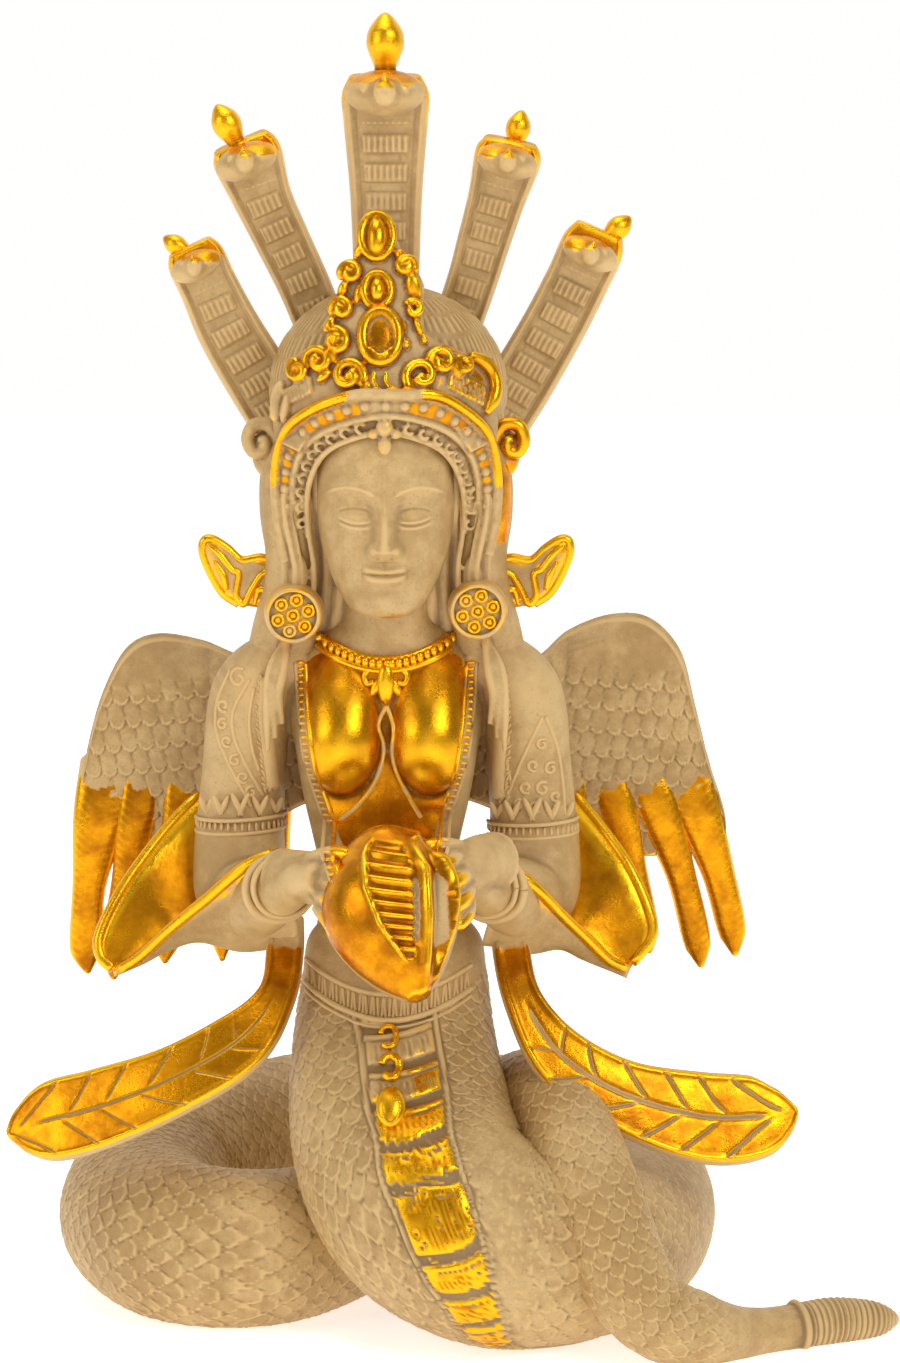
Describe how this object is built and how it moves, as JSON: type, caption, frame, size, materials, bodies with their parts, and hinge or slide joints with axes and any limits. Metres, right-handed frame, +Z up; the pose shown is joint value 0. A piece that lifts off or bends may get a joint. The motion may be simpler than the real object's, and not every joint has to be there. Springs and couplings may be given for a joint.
{
  "type": "naga maiden statue",
  "caption": "Winged serpent maiden in cast brass with cobra hoods above her crown, holding a conch and rising from her own scaled coil, painted beige and gold",
  "frame": {"origin": "middle of the whole statue's box in plan, on the surface it stands on", "axes": "+Z up, the statue faces -Y, +X to the right of someone who looks at its face"},
  "size_m": [0.219, 0.1648, 0.32],
  "materials": {
    "painted_brass": "beige paint over cast brass, satin, with rubbed orange-gold lacquer on the raised ornaments"
  },
  "bodies": {
    "root": {"naga_maiden": "painted_brass"}
  },
  "joints": []
}
